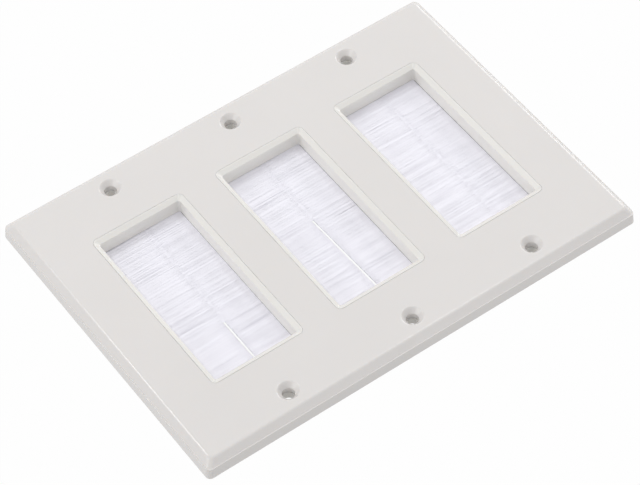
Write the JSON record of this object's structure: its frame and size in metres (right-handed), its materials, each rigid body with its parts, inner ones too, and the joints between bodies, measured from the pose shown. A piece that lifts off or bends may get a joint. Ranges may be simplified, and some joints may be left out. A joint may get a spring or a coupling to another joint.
{
  "type": "brush wall plate",
  "caption": "Wide wall plate with countersunk screw holes and rectangular openings, each filled by an insert with two facing brush strips that cables pass between.",
  "frame": {"origin": "under the middle of the plate, on the plane of the lowest faces behind the inserts", "axes": "+X across the openings, along the plate's width; +Y from the lower screw holes to the upper ones; +Z out of the wall, through the front face"},
  "size_m": [0.162, 0.1142, 0.0121],
  "materials": {
    "plate_plastic": "glossy moulded, ivory white",
    "insert_plastic": "glossy moulded, warm ivory white",
    "retainer_plastic": "plain moulded, ivory white",
    "channel_steel": "galvanised sheet",
    "wire_steel": "galvanised wire",
    "nylon_bristle": "fine white filaments"
  },
  "bodies": {
    "root": {"wall_plate": "plate_plastic", "insert_frame_1": "insert_plastic", "insert_frame_2": "insert_plastic", "insert_frame_3": "insert_plastic", "retainer_1": "retainer_plastic", "retainer_2": "retainer_plastic", "retainer_3": "retainer_plastic", "left_channel_1": "channel_steel", "left_channel_2": "channel_steel", "left_channel_3": "channel_steel", "right_channel_1": "channel_steel", "right_channel_2": "channel_steel", "right_channel_3": "channel_steel", "left_core_wire_1": "wire_steel", "left_core_wire_2": "wire_steel", "left_core_wire_3": "wire_steel", "right_core_wire_1": "wire_steel", "right_core_wire_2": "wire_steel", "right_core_wire_3": "wire_steel", "left_bristles_1": "nylon_bristle", "left_bristles_2": "nylon_bristle", "left_bristles_3": "nylon_bristle", "right_bristles_1": "nylon_bristle", "right_bristles_2": "nylon_bristle", "right_bristles_3": "nylon_bristle"}
  },
  "joints": []
}
